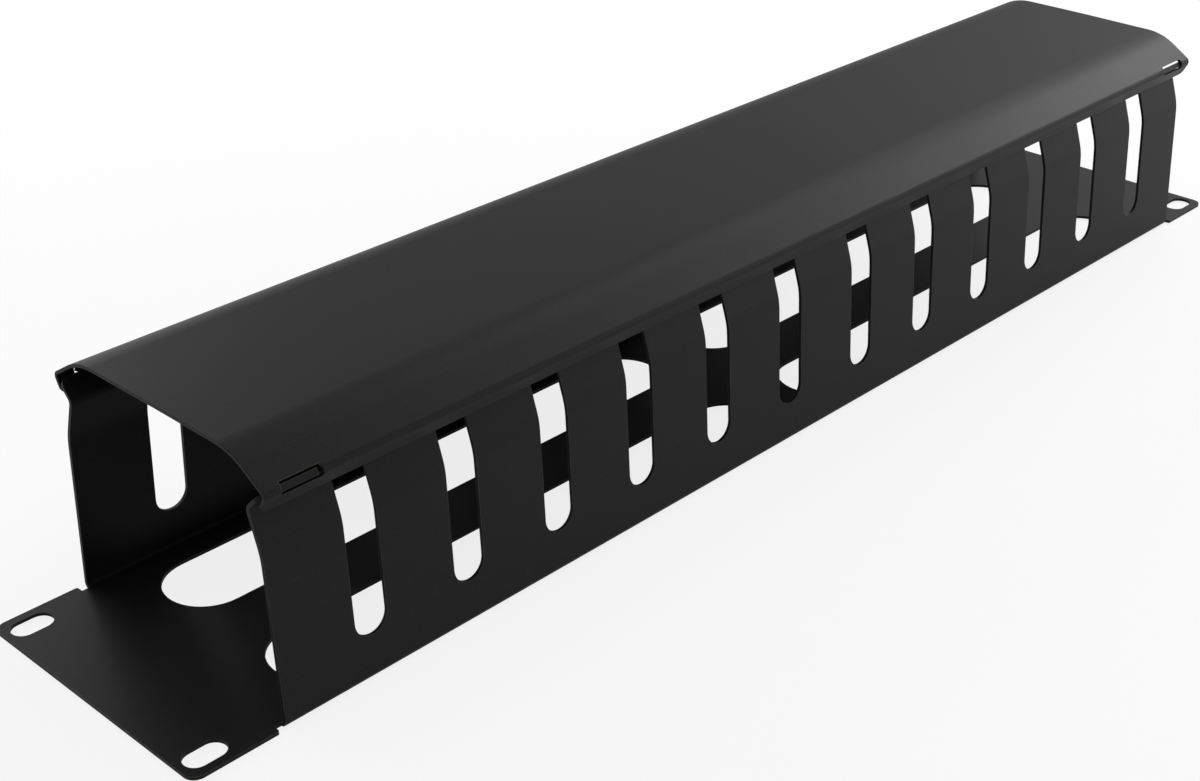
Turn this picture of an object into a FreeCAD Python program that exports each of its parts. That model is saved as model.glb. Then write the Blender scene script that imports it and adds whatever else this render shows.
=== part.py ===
"""Horizontal cable manager for a 19 inch rack, two rack units high.

Two folded steel sheets: a slotted channel with mounting ears, and a cover that clips over its fingers.
Each sheet has two planes of symmetry, so one quarter of it is modelled and mirrored twice.
Only the cable holes lie a little off the centre, so they are cut after that.
+X runs along the rack's width, +Y across it, and +Z from the mounting plane out to the cover.
The origin is the centre of the base's underside.
"""
import FreeCAD, Part
import math
import os
import Sketcher

V = FreeCAD.Vector

# Driving dimensions in millimetres.
SIZES = {
    # sheets
    "steel": 1.0,                  # sheet the channel is folded from
    "cover_steel": 1.0,            # sheet the cover is folded from
    # base and ears
    "panel_length": 481.2,         # over both ears
    "panel_height": 88.6,          # across the ears: two rack units less a little play
    "ear_length": 27.9,            # from the wall's end to the panel's end
    "ear_overhang": 0.3,           # how far the ears stand out past the walls
    "ear_corner_radius": 3.5,
    "relief_width": 2.2,           # notch that lets the wall fold beside the ear
    "relief_depth": 2.0,
    "relief_corner_radius": 0.6,
    "rack_slot_inset": 8.05,       # slot centre from the panel's end
    "rack_slot_edge": 6.2,         # slot centre from the panel's long edge
    "rack_slot_width": 7.2,
    "rack_slot_length": 12.0,
    # cable holes in the base
    "cable_hole_margin": 13.4,     # from the wall's end to the hole's end
    "cable_hole_bridge": 18.6,     # steel left between the two holes of a row
    "cable_hole_strip": 20.4,      # steel left between the two rows
    "cable_hole_edge": 8.3,        # from the hole to the wall's outer face
    "cable_hole_shift_back": 1.5,  # the whole group sits this far towards -X
    "cable_hole_shift_down": 1.3,  # and this far towards -Y
    # walls, from the base up
    "foot_radius": 1.0,            # inside of the bend at the base
    "knee_height": 48.3,           # soft bend inwards
    "knee_lean": 2.8,
    "knee_radius": 20.0,
    "waist_rise": 11.7,            # sharp bend outwards
    "waist_lean": 3.85,
    "waist_radius": 1.8,
    "catch_reach": 4.3,            # flange above the waist, out to its tip
    "catch_rise": 4.5,
    # slots and fingers
    "slot_count": 6,               # on each side of the middle finger
    "slot_width": 10.35,
    "slot_floor": 12.9,            # height of the slot's lowest point
    "middle_finger_width": 24.9,
    "end_finger_width": 23.8,
    "finger_corner_radius": 2.5,
    # tabs on the end fingers that sit in the cover's slots
    "tab_inset": 11.7,             # tab's centre from the wall's end
    "tab_width": 10.0,
    "tab_reach": 1.7,
    "tab_play": 1.1,               # each side of the tab in its slot
    # cover, placed from the catch
    "cover_end_gap": 0.4,          # by how much each end stops short of the wall's end
    "corner_play": 1.55,           # sideways from the catch to the lip's inner face
    "corner_rise": 1.4,            # outer corner above the catch
    "corner_radius": 0.9,
    "lip_tuck": 2.6,
    "lip_drop": 5.4,
    "lip_corner_radius": 2.0,
    "slant_run": 12.55,
    "slant_rise": 7.85,
    "shoulder_radius": 19.5,
    "top_crown": 0.2,
    "slot_above_corner": 1.2,
    "slot_below_corner": 1.8,
}

# Places that more than one feature needs, each worked out once from the sizes above.
LAYOUT = {
    "wall_half": "dims.panel_length / 2 - dims.ear_length",
    "foot": "dims.panel_height / 2 - dims.ear_overhang",
    "knee": "layout.foot - dims.knee_lean",
    "waist": "layout.knee - dims.waist_lean",
    "waist_height": "dims.knee_height + dims.waist_rise",
    "catch": "layout.waist + dims.catch_reach",
    "catch_height": "layout.waist_height + dims.catch_rise",
    "slot_half": "dims.slot_width / 2",
    "first_slot": "dims.middle_finger_width / 2 + layout.slot_half",
    "last_slot": "layout.wall_half - dims.end_finger_width - layout.slot_half",
    "tab_centre": "layout.wall_half - dims.tab_inset",
    "tab_slot_half": "dims.tab_width / 2 + dims.tab_play",
    "panel_half": "dims.panel_length / 2",
    "panel_edge": "dims.panel_height / 2",
    "ear_root": "layout.wall_half - dims.relief_width",
    "relief_end": "layout.wall_half + dims.relief_width",
    "relief_floor": "layout.foot - dims.relief_depth",
    "rack_slot_x": "layout.panel_half - dims.rack_slot_inset",
    "rack_slot_y": "layout.panel_edge - dims.rack_slot_edge",
    "hole_radius": "(layout.foot - dims.cable_hole_edge - dims.cable_hole_strip / 2) / 2",
    "hole_row": "dims.cable_hole_strip / 2 + layout.hole_radius",
    "hole_inner_end": "dims.cable_hole_bridge / 2 + layout.hole_radius",
    "hole_outer_end": "layout.wall_half - dims.cable_hole_margin - layout.hole_radius",
    "near_row": "-layout.hole_row - dims.cable_hole_shift_down",
    "far_row": "layout.hole_row - dims.cable_hole_shift_down",
    "left_hole_start": "-layout.hole_outer_end - dims.cable_hole_shift_back",
    "left_hole_end": "-layout.hole_inner_end - dims.cable_hole_shift_back",
    "right_hole_start": "layout.hole_inner_end - dims.cable_hole_shift_back",
    "right_hole_end": "layout.hole_outer_end - dims.cable_hole_shift_back",
    "slot_centre": "dims.slot_floor + layout.slot_half",
    "above_fingers": "layout.catch_height + 2 * dims.steel",
    "knee_height": "dims.knee_height",
    "cover_half": "layout.wall_half - dims.cover_end_gap",
    "corner": "layout.catch + dims.corner_play + dims.cover_steel",
    "corner_height": "layout.catch_height + dims.corner_rise",
    "lip": "layout.corner - dims.lip_tuck",
    "lip_height": "layout.corner_height - dims.lip_drop",
    "shoulder": "layout.corner - dims.slant_run",
    "shoulder_height": "layout.corner_height + dims.slant_rise",
    "top_height": "layout.shoulder_height + dims.top_crown",
}

# Two points closer than this, in millimetres, are the same corner.
NEAR = 0.001


def make_dimensions(doc):
    """Put the driving sizes in a sheet and the places worked out from them in a layout object."""
    dims = doc.addObject("Spreadsheet::Sheet", "dims")
    for row, (name, size) in enumerate(SIZES.items(), start=1):
        dims.set("A%d" % row, name)
        dims.set("B%d" % row, str(size))
        dims.setAlias("B%d" % row, name)
    doc.recompute()
    layout = doc.addObject("App::FeaturePython", "layout")
    for name, formula in LAYOUT.items():
        layout.addProperty("App::PropertyFloat", name)
        layout.setExpression(name, formula)
    doc.recompute()
    return layout


# Sketching

def origin_feature(body, role):
    """A plane or axis of the body's own origin."""
    return next(item for item in body.Origin.OriginFeatures if item.Role == role)


def add_sketch(body, name, role):
    """An empty sketch on one of the body's origin planes."""
    sketch = body.newObject("Sketcher::SketchObject", name)
    sketch.AttachmentSupport = [(origin_feature(body, role), "")]
    sketch.MapMode = "FlatFace"
    return sketch


def drive(sketch, kind, places, start, formula):
    """Add a dimension at its starting size and tie it to a formula."""
    index = sketch.addConstraint(Sketcher.Constraint(kind, *places, start))
    sketch.setExpression("Constraints[%d]" % index, formula)


def place_point(sketch, edge, end, across, up):
    """Tie one end of an edge to formulas for its two distances from the origin. None is zero."""
    point = sketch.getPoint(edge, end)
    if across is None:
        sketch.addConstraint(Sketcher.Constraint("PointOnObject", edge, end, -2))
    else:
        drive(sketch, "DistanceX", (-1, 1, edge, end), point.x, across)
    if up is None:
        sketch.addConstraint(Sketcher.Constraint("PointOnObject", edge, end, -1))
    else:
        drive(sketch, "DistanceY", (-1, 1, edge, end), point.y, up)


def add_line(sketch, start, end):
    """A straight edge, given as its number with its first and last point."""
    return sketch.addGeometry(Part.LineSegment(start, end)), 1, 2


def close_outline(sketch, edges):
    """Join each edge's last point to the next edge's first."""
    for (edge, _, last), (following, first, _) in zip(edges, edges[1:] + edges[:1]):
        sketch.addConstraint(Sketcher.Constraint("Coincident", edge, last, following, first))


def left_of(direction):
    """Unit direction a quarter turn to the left in the sketch."""
    return V(-direction.y, direction.x, 0).normalize()


def inner_corner(before, corner, after, depth):
    """Corner of a bent sheet's inner face, at one depth from both outer faces."""
    into = (corner - before).normalize()
    out = (after - corner).normalize()
    return corner + (left_of(into) + left_of(out)) * (depth / (1 + into.dot(out)))


def add_crown(sketch, middle, shoulder):
    """A shallow arc from the upright axis to the shoulder."""
    rise = middle.y - shoulder.y
    radius = (shoulder.x ** 2 + rise ** 2) / (2 * rise)
    circle = Part.Circle(V(0, middle.y - radius, 0), V(0, 0, 1), radius)
    sweep = math.asin(-shoulder.x / radius)
    return sketch.addGeometry(Part.ArcOfCircle(circle, math.pi / 2, math.pi / 2 + sweep))


def folded_strip(sketch, layout, outer, side, thickness, crowned=False):
    """Constrained outline of a bent sheet that starts on the sketch's upright axis.

    outer names the layout's places (across, up) for the corners of one face, with None for zero.
    side is 1 or -1 for the side of the axis, and the sheet lies to the left of the line of corners.
    Returns the points where the sheet bends, as pairs of the given face's and the other face's.
    """
    steel = SIZES[thickness]
    points = [V(side * getattr(layout, across or "", 0), getattr(layout, up or "", 0), 0)
              for across, up in outer]
    other = [points[0] + left_of(points[1] - points[0]) * steel]
    for before, corner, after in zip(points, points[1:], points[2:]):
        other.append(inner_corner(before, corner, after, steel))
    other.append(points[-1] + left_of(points[-1] - points[-2]) * steel)
    legs = range(len(points) - 1)

    if crowned:
        face_crown = add_crown(sketch, points[0], points[1])
        other_crown = add_crown(sketch, other[0], other[1])
        sketch.addConstraint(Sketcher.Constraint("PointOnObject", face_crown, 3, -2))
        sketch.addConstraint(Sketcher.Constraint("Coincident", other_crown, 3, face_crown, 3))
    face = [(face_crown, 1, 2) if crowned and leg == 0 else add_line(sketch, points[leg], points[leg + 1])
            for leg in legs]
    cut_edge = add_line(sketch, points[-1], other[-1])
    back = [(other_crown, 2, 1) if crowned and leg == 0 else add_line(sketch, other[leg + 1], other[leg])
            for leg in legs]
    axis_edge = add_line(sketch, other[0], points[0])
    close_outline(sketch, face + [cut_edge] + back[::-1] + [axis_edge])

    for leg in legs:
        if crowned and leg == 0:
            drive(sketch, "Distance", (axis_edge[0],), steel, "dims." + thickness)
        else:
            sketch.addConstraint(Sketcher.Constraint("Parallel", back[leg][0], face[leg][0]))
            drive(sketch, "Distance", (back[leg][0], 1, face[leg][0]), steel, "dims." + thickness)
    sketch.addConstraint(Sketcher.Constraint("Perpendicular", cut_edge[0], face[-1][0]))
    sketch.addConstraint(Sketcher.Constraint("PointOnObject", axis_edge[0], 1, -2))
    sign = "-" if side < 0 else ""
    for (edge, start, _), (across, up) in zip(face + [cut_edge], outer):
        place_point(sketch, edge, start, across and sign + "layout." + across, up and "layout." + up)
    sketch.Document.recompute()
    return [(sketch.getPoint(*face[leg][::2]), sketch.getPoint(*back[leg][:2])) for leg in legs[:-1]]


def add_oblong(sketch, start, end, radius, formulas):
    """A hole with round ends and two straight sides, which runs along the sketch's level axis.

    formulas gives (start across, end across, up, radius) of the two end arcs.
    """
    arcs = []
    for centre, from_angle in ((start, math.pi / 2), (end, -math.pi / 2)):
        circle = Part.Circle(centre, V(0, 0, 1), radius)
        arcs.append(sketch.addGeometry(Part.ArcOfCircle(circle, from_angle, from_angle + math.pi)))
    rim = V(0, radius, 0)
    below = add_line(sketch, start - rim, end - rim)
    above = add_line(sketch, end + rim, start + rim)
    for line, first, last in ((below, 0, 1), (above, 1, 0)):
        sketch.addConstraint(Sketcher.Constraint("Tangent", arcs[first], 2, line[0], 1))
        sketch.addConstraint(Sketcher.Constraint("Tangent", line[0], 2, arcs[last], 1))
    sketch.addConstraint(Sketcher.Constraint("Horizontal", below[0]))
    start_across, end_across, up, size = formulas
    place_point(sketch, arcs[0], 3, start_across, up)
    drive(sketch, "DistanceX", (-1, 1, arcs[1], 3), end.x, end_across)
    drive(sketch, "Radius", (arcs[0],), radius, size)


def add_box_outline(sketch, low, high, formulas):
    """A rectangle; formulas gives (low across, low up, high across, high up)."""
    corners = [low, V(high.x, low.y, 0), high, V(low.x, high.y, 0)]
    edges = [add_line(sketch, a, b) for a, b in zip(corners, corners[1:] + corners[:1])]
    close_outline(sketch, edges)
    for (edge, _, _), kind in zip(edges, ("Horizontal", "Vertical") * 2):
        sketch.addConstraint(Sketcher.Constraint(kind, edge))
    place_point(sketch, edges[0][0], 1, *formulas[:2])
    place_point(sketch, edges[2][0], 1, *formulas[2:])


# Features

def add_pad(body, sketch, name, length, symmetric=False):
    """Steel along the sketch's normal."""
    pad = body.newObject("PartDesign::Pad", name)
    pad.Profile = (sketch, [""])
    pad.SideType = "Symmetric" if symmetric else "One side"
    pad.setExpression("Length", length)
    body.Document.recompute()
    return pad


def add_cut(body, sketch, name, length=None):
    """A cut up from the base plane by a length, or right through both ways."""
    before = body.Tip.Shape.Volume
    cut = body.newObject("PartDesign::Pocket", name)
    cut.Profile = (sketch, [""])
    if length:
        cut.Reversed = True
        cut.setExpression("Length", length)
    else:
        cut.Type = "ThroughAll"
        cut.SideType = "Symmetric"
    body.Document.recompute()
    if cut.Shape.Volume >= before:
        raise RuntimeError(name + " removes nothing")
    return cut


def add_fillet(body, name, radius, chosen):
    """Round every edge of the body for which chosen says yes."""
    base = body.Tip
    edges = ["Edge%d" % number for number, edge in enumerate(base.Shape.Edges, start=1) if chosen(edge)]
    if not edges:
        raise RuntimeError(name + " finds no edge")
    fillet = body.newObject("PartDesign::Fillet", name)
    fillet.Base = (base, edges)
    fillet.setExpression("Radius", radius)
    body.Document.recompute()
    return fillet


def along_fold(point):
    """Test for the edges that run along X at a bend, whose place in the profile is given."""
    def chosen(edge):
        return all(abs(v.Point.y - point.x) < NEAR and abs(v.Point.z - point.y) < NEAR
                   for v in edge.Vertexes)
    return chosen


def add_bend(body, name, points, radius, steel, inside):
    """Fold both faces of the sheet round one centre. inside is the hollow side, 0 for the given face."""
    add_fillet(body, name + "_inside", radius, along_fold(points[inside]))
    add_fillet(body, name + "_outside", radius + " + " + steel, along_fold(points[1 - inside]))


def complete_by_mirrors(body):
    """Mirror the quarter across both of its planes of symmetry."""
    for name, role in (("other_side", "XZ_Plane"), ("other_end", "YZ_Plane")):
        mirror = body.newObject("PartDesign::Mirrored", name)
        mirror.TransformMode = "Whole shape"
        mirror.MirrorPlane = (origin_feature(body, role), [""])
        body.Document.recompute()
        body.Tip = mirror
    body.Document.recompute()


# The channel

def channel_walls(body, layout):
    """Base and one wall: up from the foot, in at the knee, and out at the waist to the catch."""
    section = add_sketch(body, "wall_section", "YZ_Plane")
    corners = [(None, None), ("foot", None), ("knee", "knee_height"), ("waist", "waist_height"),
               ("catch", "catch_height")]
    foot, knee, waist = folded_strip(section, layout, corners, 1, "steel")
    add_pad(body, section, "walls", "layout.wall_half")
    add_bend(body, "foot_bend", foot, "dims.foot_radius", "dims.steel", 1)
    add_bend(body, "knee_bend", knee, "dims.knee_radius", "dims.steel", 1)
    add_bend(body, "waist_bend", waist, "dims.waist_radius", "dims.steel", 0)


def channel_ear(body, layout):
    """Mounting ear, with a relief notch where the wall folds up beside it."""
    sketch = add_sketch(body, "ear_outline", "XY_Plane")
    corners = [("ear_root", None), ("panel_half", None), ("panel_half", "panel_edge"),
               ("relief_end", "panel_edge"), ("relief_end", "relief_floor"), ("ear_root", "relief_floor")]
    points = [V(getattr(layout, across), getattr(layout, up or "", 0), 0) for across, up in corners]
    edges = [add_line(sketch, a, b) for a, b in zip(points, points[1:] + points[:1])]
    close_outline(sketch, edges)
    for (edge, start, _), (across, up) in zip(edges, corners):
        place_point(sketch, edge, start, "layout." + across, up and "layout." + up)
    add_pad(body, sketch, "ear", "dims.steel")

    def upright_at(corner):
        """Test for the upright edge at a corner of the outline."""
        return lambda edge: all(abs(v.X - corner.x) < NEAR and abs(v.Y - corner.y) < NEAR
                                for v in edge.Vertexes)
    add_fillet(body, "ear_corner", "dims.ear_corner_radius", upright_at(points[2]))
    add_fillet(body, "relief_corner", "dims.relief_corner_radius", upright_at(points[3]))


def channel_rack_slot(body, layout):
    """Slot for a rack screw, cut through the ear."""
    sketch = add_sketch(body, "rack_slot_outline", "XY_Plane")
    half_run = (SIZES["rack_slot_length"] - SIZES["rack_slot_width"]) / 2
    start = V(layout.rack_slot_x - half_run, layout.rack_slot_y, 0)
    end = V(layout.rack_slot_x + half_run, layout.rack_slot_y, 0)
    add_oblong(sketch, start, end, SIZES["rack_slot_width"] / 2,
               ("layout.rack_slot_x - (dims.rack_slot_length - dims.rack_slot_width) / 2",
                "layout.rack_slot_x + (dims.rack_slot_length - dims.rack_slot_width) / 2",
                "layout.rack_slot_y", "dims.rack_slot_width / 2"))
    add_cut(body, sketch, "rack_slot", "2 * dims.steel")


def channel_cable_holes(body, layout):
    """Four long holes in two rows, cut through the whole base."""
    sketch = add_sketch(body, "cable_hole_outlines", "XY_Plane")
    for row in ("near_row", "far_row"):
        for end in ("left_hole", "right_hole"):
            places = (end + "_start", end + "_end", row, "hole_radius")
            first, last, up, radius = (getattr(layout, place) for place in places)
            add_oblong(sketch, V(first, up, 0), V(last, up, 0), radius,
                       ["layout." + place for place in places])
    add_cut(body, sketch, "cable_holes", "2 * dims.steel")


def channel_fingers(body, layout):
    """Slots that run from a round floor out through the catch, and round corners on each fingertip."""
    sketch = add_sketch(body, "finger_slot_outline", "XZ_Plane")
    radius = layout.slot_half
    centre = V(layout.first_slot, layout.slot_centre, 0)
    circle = Part.Circle(centre, V(0, 0, 1), radius)
    arc = sketch.addGeometry(Part.ArcOfCircle(circle, math.pi, 2 * math.pi)), 1, 2
    side = V(radius, 0, 0)
    rise = V(0, layout.above_fingers - layout.slot_centre, 0)
    floor_right, floor_left = centre + side, centre - side
    top_right, top_left = floor_right + rise, floor_left + rise
    right = add_line(sketch, floor_right, top_right)
    top = add_line(sketch, top_right, top_left)
    left = add_line(sketch, top_left, floor_left)
    sketch.addConstraint(Sketcher.Constraint("Tangent", arc[0], 2, right[0], 1))
    sketch.addConstraint(Sketcher.Constraint("Coincident", right[0], 2, top[0], 1))
    sketch.addConstraint(Sketcher.Constraint("Coincident", top[0], 2, left[0], 1))
    sketch.addConstraint(Sketcher.Constraint("Tangent", left[0], 2, arc[0], 1))
    sketch.addConstraint(Sketcher.Constraint("Vertical", right[0]))
    sketch.addConstraint(Sketcher.Constraint("Horizontal", top[0]))
    place_point(sketch, arc[0], 3, "layout.first_slot", "layout.slot_centre")
    drive(sketch, "Radius", (arc[0],), radius, "layout.slot_half")
    drive(sketch, "DistanceY", (-1, 1, top[0], 1), layout.above_fingers, "layout.above_fingers")
    slot = add_cut(body, sketch, "finger_slot")

    pattern = body.newObject("PartDesign::LinearPattern", "finger_slots")
    pattern.Originals = [slot]
    pattern.Direction = (origin_feature(body, "X_Axis"), [""])
    pattern.setExpression("Length", "layout.last_slot - layout.first_slot")
    pattern.setExpression("Occurrences", "dims.slot_count")
    body.Document.recompute()
    body.Tip = pattern

    def at_fingertip(edge):
        """Short edges through the sheet at the flange's end, apart from those on the mirror plane."""
        ends = edge.Vertexes
        flat = len(ends) == 2 and abs(ends[0].X - ends[1].X) < NEAR and ends[0].X > NEAR
        return flat and abs(edge.Length - SIZES["steel"]) < NEAR and min(v.Z for v in ends) > tip_floor
    tip_floor = layout.catch_height - NEAR
    add_fillet(body, "fingertip_corners", "dims.finger_corner_radius", at_fingertip)


def channel_tab(body, layout):
    """Tab that carries on from the end finger's catch and sits in the cover's slot."""
    sketch = add_sketch(body, "tab_section", "YZ_Plane")
    sketch.setExpression("AttachmentOffset.Base.z", "layout.tab_centre")
    waist = V(layout.waist, layout.waist_height, 0)
    catch = V(layout.catch, layout.catch_height, 0)
    along = (catch - waist).normalize()
    reach, through = along * SIZES["tab_reach"], left_of(along) * SIZES["steel"]
    flange = add_line(sketch, waist, catch)
    sketch.toggleConstruction(flange[0])
    corners = [catch, catch + reach, catch + reach + through, catch + through]
    edges = [add_line(sketch, a, b) for a, b in zip(corners, corners[1:] + corners[:1])]
    close_outline(sketch, edges)
    for (edge, _, _), kind in zip(edges, ("Parallel", "Perpendicular") * 2):
        sketch.addConstraint(Sketcher.Constraint(kind, edge, flange[0]))
    sketch.addConstraint(Sketcher.Constraint("Coincident", edges[0][0], 1, flange[0], 2))
    place_point(sketch, flange[0], 1, "layout.waist", "layout.waist_height")
    place_point(sketch, flange[0], 2, "layout.catch", "layout.catch_height")
    drive(sketch, "Distance", (edges[0][0],), SIZES["tab_reach"], "dims.tab_reach")
    drive(sketch, "Distance", (edges[1][0],), SIZES["steel"], "dims.steel")
    add_pad(body, sketch, "tab", "dims.tab_width", symmetric=True)


def make_channel(doc, layout):
    """The folded channel: base with ears, two slotted walls and the catches on its fingers."""
    body = doc.addObject("PartDesign::Body", "cable_channel")
    body.Label = "cable_channel"
    channel_walls(body, layout)
    channel_ear(body, layout)
    channel_rack_slot(body, layout)
    channel_fingers(body, layout)
    channel_tab(body, layout)
    complete_by_mirrors(body)
    channel_cable_holes(body, layout)
    return body


# The cover

def make_cover(doc, layout):
    """The folded cover: crowned top, slanted sides, and lips that tuck in under the catches."""
    body = doc.addObject("PartDesign::Body", "cover")
    body.Label = "cover"
    section = add_sketch(body, "cover_section", "YZ_Plane")
    corners = [(None, "top_height"), ("shoulder", "shoulder_height"), ("corner", "corner_height"),
               ("lip", "lip_height")]
    shoulder, corner = folded_strip(section, layout, corners, -1, "cover_steel", crowned=True)
    add_pad(body, section, "folded_cover", "layout.cover_half")
    add_bend(body, "shoulder_bend", shoulder, "dims.shoulder_radius", "dims.cover_steel", 1)
    add_bend(body, "corner_bend", corner, "dims.corner_radius", "dims.cover_steel", 1)

    lip_top = layout.corner_height - SIZES["lip_drop"] / 2

    def at_lip_corner(edge):
        """Short edges through the lip at the cover's end."""
        ends = edge.Vertexes
        return (len(ends) == 2 and abs(edge.Length - SIZES["cover_steel"]) < NEAR
                and all(v.Z < lip_top and v.X > NEAR for v in ends))
    add_fillet(body, "lip_corner", "dims.lip_corner_radius", at_lip_corner)

    sketch = add_sketch(body, "tab_slot_outline", "XZ_Plane")
    low = V(layout.tab_centre - layout.tab_slot_half, layout.corner_height - SIZES["slot_below_corner"], 0)
    high = V(layout.tab_centre + layout.tab_slot_half, layout.corner_height + SIZES["slot_above_corner"], 0)
    add_box_outline(sketch, low, high, (
        "layout.tab_centre - layout.tab_slot_half", "layout.corner_height - dims.slot_below_corner",
        "layout.tab_centre + layout.tab_slot_half", "layout.corner_height + dims.slot_above_corner"))
    add_cut(body, sketch, "tab_slot")
    complete_by_mirrors(body)
    return body


def check(doc, bodies):
    """Stop if any feature failed or a sheet isn't one valid solid."""
    for item in doc.Objects:
        if "Invalid" in item.State or "Error" in item.State:
            raise RuntimeError(item.Name + " failed: " + str(item.State))
    for body in bodies:
        shape = body.Shape
        if shape.isNull() or not shape.isValid() or len(shape.Solids) != 1:
            raise RuntimeError(body.Label + " is not one valid solid")


def main():
    """Build both sheets, check them and write each to its own STEP file."""
    doc = FreeCAD.newDocument("cable_manager")
    layout = make_dimensions(doc)
    bodies = [make_channel(doc, layout), make_cover(doc, layout)]
    doc.recompute()
    check(doc, bodies)
    os.makedirs("parts", exist_ok=True)
    for body in bodies:
        body.Shape.exportStep(os.path.join("parts", body.Label + ".step"))


main()
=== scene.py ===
"""Horizontal cable manager: the powder-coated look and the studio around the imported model.

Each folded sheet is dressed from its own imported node: the arrises that a press and a coat of
powder leave soft are rounded, and the coat gets its grain. Lengths are in metres, in the model's
frame: +X runs along the rack's width, +Y across it, and +Z from the mounting plane out to the
cover.
"""

import math

import bpy
from bpy.props import FloatProperty, FloatVectorProperty, PointerProperty
from bpy.types import Operator, Panel, PropertyGroup
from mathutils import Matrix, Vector


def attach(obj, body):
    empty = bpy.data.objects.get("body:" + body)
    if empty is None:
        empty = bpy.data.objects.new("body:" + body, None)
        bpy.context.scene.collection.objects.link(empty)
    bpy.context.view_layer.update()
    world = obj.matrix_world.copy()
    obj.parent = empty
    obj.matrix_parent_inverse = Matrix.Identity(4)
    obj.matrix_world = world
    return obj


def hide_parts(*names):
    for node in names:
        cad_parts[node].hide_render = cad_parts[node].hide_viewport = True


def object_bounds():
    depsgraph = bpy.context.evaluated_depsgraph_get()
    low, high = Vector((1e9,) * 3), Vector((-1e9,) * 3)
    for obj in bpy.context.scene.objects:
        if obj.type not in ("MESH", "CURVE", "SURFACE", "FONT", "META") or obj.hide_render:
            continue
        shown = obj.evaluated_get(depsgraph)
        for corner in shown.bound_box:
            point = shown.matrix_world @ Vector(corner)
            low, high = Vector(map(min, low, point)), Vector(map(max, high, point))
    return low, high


bl_info = {
    "name": "Horizontal cable manager",
    "version": (1, 0, 0),
    "blender": (4, 5, 0),
    "location": "3D View > Sidebar > Cable manager",
    "description": "Dresses the two folded sheets of a rack cable manager and lights them",
    "category": "Object",
}

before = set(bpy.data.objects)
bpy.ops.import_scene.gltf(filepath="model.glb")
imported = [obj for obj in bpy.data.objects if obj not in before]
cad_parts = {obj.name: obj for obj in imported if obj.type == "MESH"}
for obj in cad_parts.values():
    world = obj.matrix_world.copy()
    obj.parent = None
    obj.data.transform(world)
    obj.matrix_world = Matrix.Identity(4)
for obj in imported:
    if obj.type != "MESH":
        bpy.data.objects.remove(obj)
cad_low, cad_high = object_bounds()

# Sheets
ONE_CORNER = 1e-6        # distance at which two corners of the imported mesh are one
FLAT_WITHIN = math.radians(0.5)
ARRIS_OVER = math.radians(40)
ARRIS_STEPS = 2
BROAD_FACES_LEAD = 100   # the most that the broad faces can count in the shading
TAB_ENDS_FROM = 0.0653   # only the tabs' ends reach above this height on the channel

# Coat
COAT_MATERIAL = "powder_coat_finish"
SWELL_SCALE, SWELL_HEIGHT = 0.22, 0.8   # against the pebbles' own
MOTTLE_SCALE = 22.0      # per metre
MOTTLE_FROM, MOTTLE_TO = 0.3, 0.7
PALER = 1.3              # the coat's pale patches against its own colour
SPECK_SCALE = 0.9        # against the pebbles' own
SPECK_FROM, SPECK_TO = 0.62, 0.72
SPECK_COLOUR = (0.035, 0.034, 0.033, 1)
SPECK_SHARE = 0.28
ROUGHNESS_SPREAD = 0.008
SHEEN = 0.14
# Arris highlight: a pale highlight painted into the coat's colour along the cut edges
HIGHLIGHT_REACH = 0.00035
HIGHLIGHT_SAMPLES = 6
HIGHLIGHT_FROM, HIGHLIGHT_TO = 0.02, 0.22   # how far a rounded normal turns from its face's
PATCH_SCALE = 140.0      # per metre
PATCH_FROM, PATCH_TO = 0.35, 0.65
LEAST_HIGHLIGHT = 0.25        # share of the painted arris highlight that stays between the patches
HIGHLIGHT_SMOOTHER = 0.12     # how much less rough the coat is under the painted arris highlight

# Stage
FLOOR_SIZE = 24 * (cad_high.x - cad_low.x)
FLOOR_GAP = 0.0004
FLOOR_ROUGHNESS = 0.9
ALL_WHITE = 1.0
FLOOR_WHITE = 0.82       # share of plain white that the camera sees near the object
WHITE_FROM, WHITE_TO = 0.3, 0.8   # distances from the middle over which it grows to all white
FLOOR_WHITE_IN_GLOSS = 0.30
ROOM_WHITE_IN_GLOSS = 0.10
LEFT_UP_TO, RIGHT_FROM = -0.2, 0.5       # X of the direction in which the room is seen
HORIZON_UP_TO, CEILING_FROM = 0.25, 0.70   # and its Z
LAMPS = (                # name, place, aim, length and width, and which setting holds its power
    ("back_lamp", (-0.15, 0.90, 0.45), (0, 0, 0.03), (0.8, 0.4), "back_power"),
    ("side_lamp", (1.05, 0.12, 1.02), (0, 0, 0.03), (0.9, 0.9), "side_power"),
    ("end_lamp", (0.85, -0.10, 0.40), (0.1, 0, 0.05), (0.35, 0.35), "end_power"),
    ("front_lamp", (1.0, -0.8, 0.24), (0, 0, 0.05), (1.2, 0.36), "front_power"),
)
SENSOR_WIDTH = 36        # millimetres
NEAREST_SEEN = 0.01


# Settings

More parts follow.
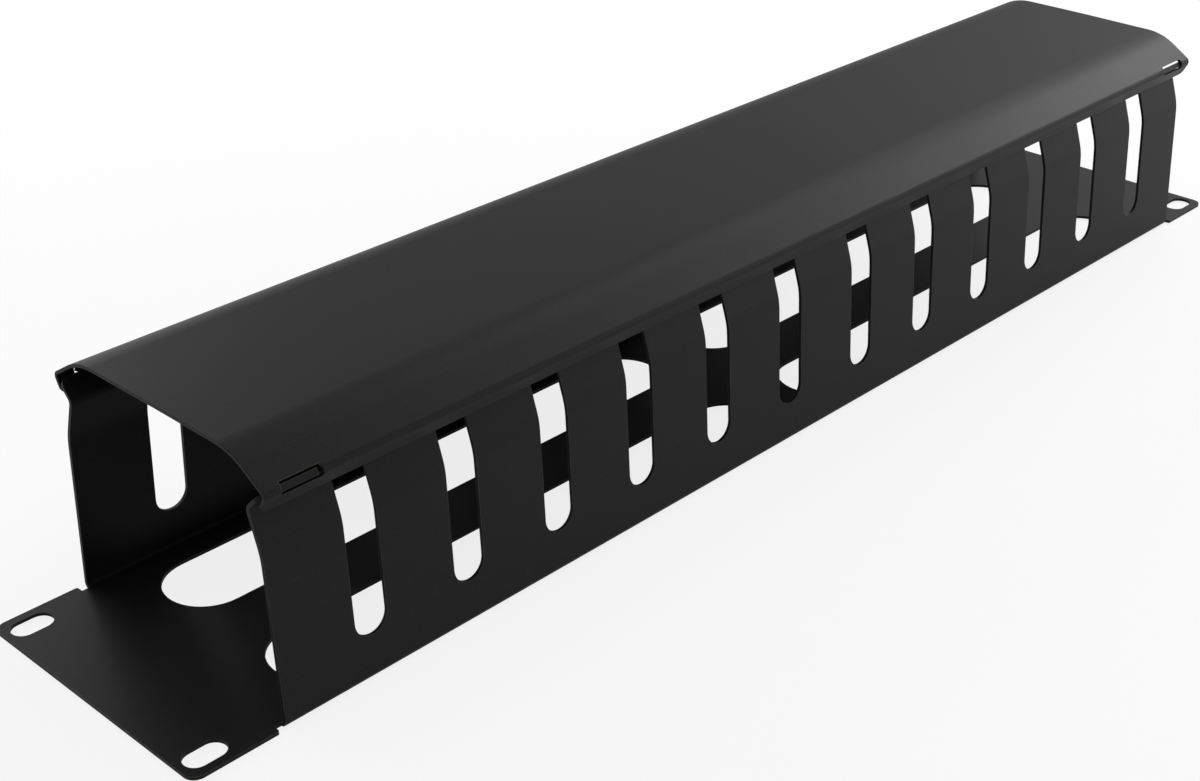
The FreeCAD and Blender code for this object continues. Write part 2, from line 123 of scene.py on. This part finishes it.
class CoatSettings(PropertyGroup):
    """The powder coat and the arrises under it."""

    colour: FloatVectorProperty(
        name="Coat colour", description="Colour of the powder coat", subtype="COLOR",
        size=4, min=0, max=1, default=(0.0070, 0.0070, 0.0072, 1))
    # Colour of the highlight painted along the arrises
    arris_highlight_colour: FloatVectorProperty(
        name="Arris highlight colour", description="Colour of the highlight painted along an arris",
        subtype="COLOR", size=4, min=0, max=1, default=(0.090, 0.076, 0.067, 1))
    roughness: FloatProperty(
        name="Roughness", description="Mean roughness of the coat", subtype="FACTOR",
        min=0, max=1, default=0.46)
    grain: FloatProperty(
        name="Grain", description="Distance between the bumps of the coat's texture",
        subtype="DISTANCE", unit="LENGTH", min=1e-5, default=0.00045)
    grain_height: FloatProperty(
        name="Grain height", description="Height of the coat's bumps", subtype="DISTANCE",
        unit="LENGTH", min=0, default=0.000018)
    arris: FloatProperty(
        name="Arris", description="Width of the rounding on each cut edge of the sheet",
        subtype="DISTANCE", unit="LENGTH", min=1e-5, default=0.00018)


class TabSettings(PropertyGroup):
    """How the ends of the four tabs fill the cover's slots."""

    upper_reach: FloatProperty(
        name="Upper reach", subtype="DISTANCE", unit="LENGTH", min=0, default=0.04225,
        description="From the middle of the channel to the upper edge of a tab's end")
    upper_level: FloatProperty(
        name="Upper level", description="Height of the upper edge of a tab's end",
        subtype="DISTANCE", unit="LENGTH", min=0, default=0.06635)
    lower_reach: FloatProperty(
        name="Lower reach", subtype="DISTANCE", unit="LENGTH", min=0, default=0.04310,
        description="From the middle of the channel to the lower edge of a tab's end")
    lower_level: FloatProperty(
        name="Lower level", description="Height of the lower edge of a tab's end",
        subtype="DISTANCE", unit="LENGTH", min=0, default=0.06475)
    widening: FloatProperty(
        name="Widening", description="How much a tab's end grows towards the channel's end",
        subtype="DISTANCE", unit="LENGTH", min=0, default=0.00095)


class StudioSettings(PropertyGroup):
    """Floor, lamps and camera."""

    floor_colour: FloatVectorProperty(
        name="Floor colour", description="Colour of the floor under the lamps", subtype="COLOR",
        size=4, min=0, max=1, default=(0.94, 0.94, 0.94, 1))
    left_light: FloatProperty(
        name="Light from the left", min=0, default=0.40,
        description="Strength of the room's light near the left horizon")
    right_light: FloatProperty(
        name="Light from the right", min=0, default=0.62,
        description="Strength of the room's light near the right horizon")
    ceiling_light: FloatProperty(
        name="Light from above", min=0, default=0.50,
        description="Strength of the room's light overhead")
    back_power: FloatProperty(
        name="Back lamp", description="Power of the long, low lamp behind", subtype="POWER",
        unit="POWER", min=0, default=3.3)
    side_power: FloatProperty(
        name="Side lamp", description="Power of the lamp high on the right", subtype="POWER",
        unit="POWER", min=0, default=5.0)
    end_power: FloatProperty(
        name="End lamp", description="Power of the lamp beyond the far end", subtype="POWER",
        unit="POWER", min=0, default=2.3)
    front_power: FloatProperty(
        name="Front lamp", description="Power of the long, low lamp in front on the right",
        subtype="POWER", unit="POWER", min=0, default=2.4)
    lens: FloatProperty(
        name="Lens", description="Focal length on a 36 mm wide sensor, in millimetres",
        min=10, default=56.839)
    camera_place: FloatVectorProperty(
        name="Camera place", description="Where the camera stands", subtype="TRANSLATION",
        unit="LENGTH", size=3, default=(-0.42410, -0.35259, 0.29218))
    camera_turn: FloatVectorProperty(
        name="Camera turn", description="Which way the camera looks", subtype="EULER",
        unit="ROTATION", size=3,
        default=(math.radians(61.550), math.radians(0.044), math.radians(-46.210)))


# Node helpers

def new_group(name, inputs, outputs):
    """An empty shader group with named sockets, as (group, its input node, its output node)."""
    group = bpy.data.node_groups.new(name, "ShaderNodeTree")
    for label, kind, value in inputs:
        socket = group.interface.new_socket(label, in_out="INPUT", socket_type=kind)
        socket.default_value = value
    for label, kind in outputs:
        group.interface.new_socket(label, in_out="OUTPUT", socket_type=kind)
    return group, group.nodes.new("NodeGroupInput"), group.nodes.new("NodeGroupOutput")


def link(tree, source, target):
    """Join two sockets."""
    tree.links.new(source, target)


def feed(tree, socket, value):
    """Give a socket its value: another socket to follow, or a number or colour to hold."""
    if isinstance(value, bpy.types.NodeSocket):
        link(tree, value, socket)
    else:
        socket.default_value = value


def math_node(tree, operation, first, second):
    """A Math node's result; each operand is a socket or a number."""
    node = tree.nodes.new("ShaderNodeMath")
    node.operation = operation
    for socket, value in zip(node.inputs, (first, second)):
        feed(tree, socket, value)
    return node.outputs[0]


def noise_node(tree, vector, scale, detail=2.0, roughness=0.5):
    """A Noise Texture's value on the given coordinates."""
    node = tree.nodes.new("ShaderNodeTexNoise")
    link(tree, vector, node.inputs["Vector"])
    feed(tree, node.inputs["Scale"], scale)
    node.inputs["Detail"].default_value = detail
    node.inputs["Roughness"].default_value = roughness
    return node.outputs["Fac"]


def ramp_node(tree, value, low, high, to_low=0.0, to_high=1.0):
    """Spread part of a value's range over another; its ends are sockets or numbers."""
    node = tree.nodes.new("ShaderNodeMapRange")
    node.interpolation_type = "SMOOTHSTEP"
    link(tree, value, node.inputs["Value"])
    node.inputs["From Min"].default_value = low
    node.inputs["From Max"].default_value = high
    feed(tree, node.inputs["To Min"], to_low)
    feed(tree, node.inputs["To Max"], to_high)
    return node.outputs["Result"]


def powder_grain_group():
    """Texture of a sintered coat: fine pebbles over a slow, shallow swell."""
    group, given, out = new_group(
        "Powder grain", [("Grain", "NodeSocketFloat", 0.0005)],
        [(label, "NodeSocketFloat") for label in ("Height", "Mottle", "Speck")])
    place = group.nodes.new("ShaderNodeTexCoord").outputs["Object"]
    per_grain = math_node(group, "DIVIDE", 1.0, given.outputs["Grain"])
    pebbles = noise_node(group, place, per_grain, detail=3.0, roughness=0.6)
    swell_scale = math_node(group, "MULTIPLY", per_grain, SWELL_SCALE)
    swell = noise_node(group, place, swell_scale, detail=1.0)
    height = math_node(group, "ADD", pebbles, math_node(group, "MULTIPLY", swell, SWELL_HEIGHT))
    mottle = noise_node(group, place, MOTTLE_SCALE, detail=4.0, roughness=0.6)
    speck_scale = math_node(group, "MULTIPLY", per_grain, SPECK_SCALE)
    specks = noise_node(group, place, speck_scale, detail=1.0)
    link(group, height, out.inputs["Height"])
    link(group, mottle, out.inputs["Mottle"])
    link(group, ramp_node(group, specks, SPECK_FROM, SPECK_TO), out.inputs["Speck"])
    return group


def arris_highlight_group():
    """Mask of the sheet's arrises, along which a pale highlight is painted on the coat."""
    group, given, out = new_group(
        "Arris wear", [("Reach", "NodeSocketFloat", HIGHLIGHT_REACH)], [("Mask", "NodeSocketFloat")])
    geometry = group.nodes.new("ShaderNodeNewGeometry")
    rounded = group.nodes.new("ShaderNodeBevel")
    rounded.samples = HIGHLIGHT_SAMPLES
    link(group, given.outputs["Reach"], rounded.inputs["Radius"])
    agreement = group.nodes.new("ShaderNodeVectorMath")
    agreement.operation = "DOT_PRODUCT"
    link(group, rounded.outputs["Normal"], agreement.inputs[0])
    link(group, geometry.outputs["Normal"], agreement.inputs[1])
    turned = math_node(group, "SUBTRACT", 1.0, agreement.outputs["Value"])
    place = group.nodes.new("ShaderNodeTexCoord").outputs["Object"]
    patches = noise_node(group, place, PATCH_SCALE, detail=3.0, roughness=0.65)
    broken = ramp_node(group, patches, PATCH_FROM, PATCH_TO, LEAST_HIGHLIGHT, 1.0)
    mask = math_node(group, "MULTIPLY", ramp_node(group, turned, HIGHLIGHT_FROM, HIGHLIGHT_TO), broken)
    link(group, mask, out.inputs["Mask"])
    return group


def group_node(material, group, values):
    """A node group placed in a material with its own values."""
    node = material.node_tree.nodes.new("ShaderNodeGroup")
    node.node_tree = group
    for label, value in values.items():
        node.inputs[label].default_value = value
    return node


def mix_colours(tree, mask, under, over):
    """Two colours mixed by a mask; each is a socket or a colour."""
    node = tree.nodes.new("ShaderNodeMix")
    node.data_type = "RGBA"
    link(tree, mask, node.inputs["Factor"])
    feed(tree, node.inputs["A"], under)
    feed(tree, node.inputs["B"], over)
    return node.outputs["Result"]


def powder_coat(coat):
    """Black powder coat with a fine, matt grain and a pale highlight painted along the arrises."""
    material = bpy.data.materials.get(COAT_MATERIAL)
    if material:
        return material
    material = bpy.data.materials.new(COAT_MATERIAL)
    material.use_nodes = True
    tree = material.node_tree
    shader = tree.nodes["Principled BSDF"]
    grain = group_node(material, powder_grain_group(), {"Grain": coat.grain})
    edge_highlight = group_node(material, arris_highlight_group(), {"Reach": HIGHLIGHT_REACH})

    coated = tuple(coat.colour)
    paler = tuple(min(1.0, channel * PALER) for channel in coated[:3]) + (1.0,)
    mottled = mix_colours(tree, grain.outputs["Mottle"], coated, paler)
    speck = math_node(tree, "MULTIPLY", grain.outputs["Speck"], SPECK_SHARE)
    specked = mix_colours(tree, speck, mottled, SPECK_COLOUR)
    # The arrises get a painted highlight in a pale brownish colour, and a little less roughness.
    link(tree, mix_colours(tree, edge_highlight.outputs["Mask"], specked, tuple(coat.arris_highlight_colour)),
         shader.inputs["Base Color"])
    rough = ramp_node(tree, grain.outputs["Mottle"], MOTTLE_FROM, MOTTLE_TO,
                      coat.roughness - ROUGHNESS_SPREAD, coat.roughness + ROUGHNESS_SPREAD)
    smoother = math_node(tree, "MULTIPLY", edge_highlight.outputs["Mask"], HIGHLIGHT_SMOOTHER)
    link(tree, math_node(tree, "SUBTRACT", rough, smoother), shader.inputs["Roughness"])
    shader.inputs["Specular IOR Level"].default_value = SHEEN
    bump = tree.nodes.new("ShaderNodeBump")
    bump.inputs["Strength"].default_value = 1.0
    bump.inputs["Distance"].default_value = coat.grain_height
    link(tree, grain.outputs["Height"], bump.inputs["Height"])
    link(tree, bump.outputs["Normal"], shader.inputs["Normal"])
    return material


# Modelling helpers

def select_only(piece):
    """Make one object the selected and active one."""
    bpy.ops.object.select_all(action="DESELECT")
    piece.select_set(True)
    bpy.context.view_layer.objects.active = piece


def made_whole(node):
    """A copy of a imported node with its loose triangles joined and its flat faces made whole."""
    select_only(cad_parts[node])
    bpy.ops.object.duplicate()
    piece = bpy.context.view_layer.objects.active
    select_only(piece)
    bpy.ops.mesh.customdata_custom_splitnormals_clear()
    bpy.ops.object.mode_set(mode="EDIT")
    bpy.ops.mesh.select_all(action="SELECT")
    bpy.ops.mesh.remove_doubles(threshold=ONE_CORNER)
    bpy.ops.mesh.dissolve_limited(angle_limit=FLAT_WITHIN)
    bpy.ops.object.mode_set(mode="OBJECT")
    return piece


def soften_arrises(piece, width):
    """Round every cut edge of the sheet, and shade its bends as smooth curves."""
    select_only(piece)
    bpy.ops.object.shade_smooth_by_angle(angle=ARRIS_OVER)
    bevel = piece.modifiers.new("arrises", "BEVEL")
    bevel.width = width
    bevel.segments = ARRIS_STEPS
    bevel.limit_method = "ANGLE"
    bevel.angle_limit = ARRIS_OVER
    bpy.ops.object.modifier_apply(modifier=bevel.name)
    bpy.ops.object.shade_smooth_by_angle(angle=ARRIS_OVER)
    weighted = piece.modifiers.new("even_shading", "WEIGHTED_NORMAL")
    weighted.keep_sharp = True
    weighted.weight = BROAD_FACES_LEAD
    bpy.ops.object.modifier_apply(modifier=weighted.name)


def fill_cover_slots(piece, tabs):
    """Splay the tabs' ends, as a press leaves them, until they fill the cover's slots."""
    tab_ends = [v for v in piece.data.vertices if v.co.z > TAB_ENDS_FROM]
    middle = sum(v.co.z for v in tab_ends) / len(tab_ends)
    wide = sum(abs(v.co.x) for v in tab_ends) / len(tab_ends)
    for v in tab_ends:
        upper = v.co.z > middle
        v.co.z = tabs.upper_level if upper else tabs.lower_level
        v.co.y = math.copysign(tabs.upper_reach if upper else tabs.lower_reach, v.co.y)
        if abs(v.co.x) > wide:
            v.co.x += math.copysign(tabs.widening, v.co.x)


def dress_sheet(piece, node, piece_name, body):
    """Soften, coat and name a sheet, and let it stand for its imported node."""
    coat = bpy.context.scene.cable_manager_coat
    piece.name = piece_name
    piece.data.name = piece_name
    soften_arrises(piece, coat.arris)
    piece.data.materials.clear()
    piece.data.materials.append(powder_coat(coat))
    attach(piece, body)
    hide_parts(node)


class CABLEMANAGER_OT_channel(Operator):
    """Finish the folded channel with its slotted walls and mounting ears"""

    bl_idname = "cable_manager.channel"
    bl_label = "Finish channel"

    def execute(self, context):
        sheet = made_whole("cable_channel")
        fill_cover_slots(sheet, context.scene.cable_manager_tabs)
        dress_sheet(sheet, "cable_channel", "channel_sheet", "channel")
        return {"FINISHED"}


class CABLEMANAGER_OT_cover(Operator):
    """Finish the folded cover"""

    bl_idname = "cable_manager.cover"
    bl_label = "Finish cover"

    def execute(self, context):
        dress_sheet(made_whole("cover"), "cover", "cover_sheet", "cover")
        return {"FINISHED"}


# Stage

def background_share(tree, to_camera, to_gloss):
    """How much plain white a ray sees: one from the camera, and one off gloss or through glass."""
    path = tree.nodes.new("ShaderNodeLightPath")
    from_gloss = math_node(tree, "MAXIMUM", path.outputs["Is Glossy Ray"],
                           path.outputs["Is Transmission Ray"])
    return math_node(tree, "MAXIMUM",
                     math_node(tree, "MULTIPLY", path.outputs["Is Camera Ray"], to_camera),
                     math_node(tree, "MULTIPLY", from_gloss, to_gloss))


def floor_finish(colour):
    """Pale matt floor that keeps a faint shadow near the object and shows white further off."""
    material = bpy.data.materials.new("floor_finish")
    material.use_nodes = True
    tree = material.node_tree
    shader = tree.nodes["Principled BSDF"]
    shader.inputs["Base Color"].default_value = tuple(colour)
    shader.inputs["Roughness"].default_value = FLOOR_ROUGHNESS
    shader.inputs["Specular IOR Level"].default_value = 0.0
    white = tree.nodes.new("ShaderNodeEmission")
    distance = tree.nodes.new("ShaderNodeVectorMath")
    distance.operation = "LENGTH"
    link(tree, tree.nodes.new("ShaderNodeTexCoord").outputs["Object"], distance.inputs[0])
    to_camera = ramp_node(tree, distance.outputs["Value"], WHITE_FROM, WHITE_TO,
                          FLOOR_WHITE, ALL_WHITE)
    mix = tree.nodes.new("ShaderNodeMixShader")
    link(tree, background_share(tree, to_camera, FLOOR_WHITE_IN_GLOSS), mix.inputs["Fac"])
    link(tree, shader.outputs["BSDF"], mix.inputs[1])
    link(tree, white.outputs["Emission"], mix.inputs[2])
    link(tree, mix.outputs["Shader"], tree.nodes["Material Output"].inputs["Surface"])
    return material


def light_room(left, right, ceiling):
    """Soft room, dimmest near the left horizon, that the camera sees as white."""
    world = bpy.data.worlds.new("studio")
    bpy.context.scene.world = world
    world.use_nodes = True
    tree = world.node_tree
    surroundings = tree.nodes["Background"]
    surroundings.inputs["Color"].default_value = (1, 1, 1, 1)
    direction = tree.nodes.new("ShaderNodeSeparateXYZ")
    seen = tree.nodes.new("ShaderNodeTexCoord").outputs["Generated"]
    link(tree, seen, direction.inputs["Vector"])
    horizon = ramp_node(tree, direction.outputs["X"], LEFT_UP_TO, RIGHT_FROM, left, right)
    light = ramp_node(tree, direction.outputs["Z"], HORIZON_UP_TO, CEILING_FROM, horizon, ceiling)
    white_share = background_share(tree, ALL_WHITE, ROOM_WHITE_IN_GLOSS)
    light_share = math_node(tree, "SUBTRACT", 1.0, white_share)
    strength = math_node(tree, "ADD", white_share, math_node(tree, "MULTIPLY", light, light_share))
    link(tree, strength, surroundings.inputs["Strength"])


def add_lamp(name, place, aim, size, power):
    """An oblong soft lamp that faces a point."""
    bpy.ops.object.light_add(type="AREA", location=place)
    lamp = bpy.context.object
    lamp.name = name
    lamp.data.shape = "RECTANGLE"
    lamp.data.size, lamp.data.size_y = size
    lamp.data.energy = power
    lamp.rotation_euler = (Vector(aim) - Vector(place)).to_track_quat("-Z", "Y").to_euler()


class CABLEMANAGER_OT_stage(Operator):
    """Lay the floor, hang the lamps and set up the camera"""

    bl_idname = "cable_manager.stage"
    bl_label = "Set the stage"

    def execute(self, context):
        studio = context.scene.cable_manager_studio
        bpy.ops.object.select_all(action="DESELECT")
        bpy.ops.mesh.primitive_plane_add(size=FLOOR_SIZE, location=(0, 0, cad_low.z - FLOOR_GAP))
        floor = context.object
        floor.name = "floor"
        floor.data.materials.append(floor_finish(studio.floor_colour))
        light_room(studio.left_light, studio.right_light, studio.ceiling_light)
        for name, place, aim, size, power in LAMPS:
            add_lamp(name, place, aim, size, getattr(studio, power))
        bpy.ops.object.camera_add(location=studio.camera_place, rotation=studio.camera_turn)
        camera = context.object
        camera.name = "view_camera"
        camera.data.sensor_width = SENSOR_WIDTH
        camera.data.lens = studio.lens
        camera.data.clip_start = NEAREST_SEEN
        context.scene.camera = camera
        context.scene.view_settings.view_transform = "Standard"
        return {"FINISHED"}


class CABLEMANAGER_PT_sidebar(Panel):
    """Settings and steps, in the 3D view's sidebar"""

    bl_label = "Cable manager"
    bl_idname = "CABLEMANAGER_PT_sidebar"
    bl_space_type = "VIEW_3D"
    bl_region_type = "UI"
    bl_category = "Cable manager"

    def draw(self, context):
        scene = context.scene
        for settings in (scene.cable_manager_coat, scene.cable_manager_tabs,
                         scene.cable_manager_studio):
            box = self.layout.box()
            for name in settings.bl_rna.properties.keys():
                if name not in ("rna_type", "name"):
                    box.prop(settings, name)
        for step in STEPS:
            self.layout.operator(step.bl_idname)


STEPS = (CABLEMANAGER_OT_channel, CABLEMANAGER_OT_cover, CABLEMANAGER_OT_stage)
CLASSES = (CoatSettings, TabSettings, StudioSettings) + STEPS + (CABLEMANAGER_PT_sidebar,)


def register():
    """Add the settings, steps and panel."""
    for cls in CLASSES:
        bpy.utils.register_class(cls)
    bpy.types.Scene.cable_manager_coat = PointerProperty(type=CoatSettings)
    bpy.types.Scene.cable_manager_tabs = PointerProperty(type=TabSettings)
    bpy.types.Scene.cable_manager_studio = PointerProperty(type=StudioSettings)


def unregister():
    """Take them away again."""
    del bpy.types.Scene.cable_manager_studio
    del bpy.types.Scene.cable_manager_tabs
    del bpy.types.Scene.cable_manager_coat
    for cls in reversed(CLASSES):
        bpy.utils.unregister_class(cls)


def main():
    """Run every step in order."""
    register()
    bpy.ops.cable_manager.channel()
    bpy.ops.cable_manager.cover()
    bpy.ops.cable_manager.stage()


if __name__ == "__main__":
    main()
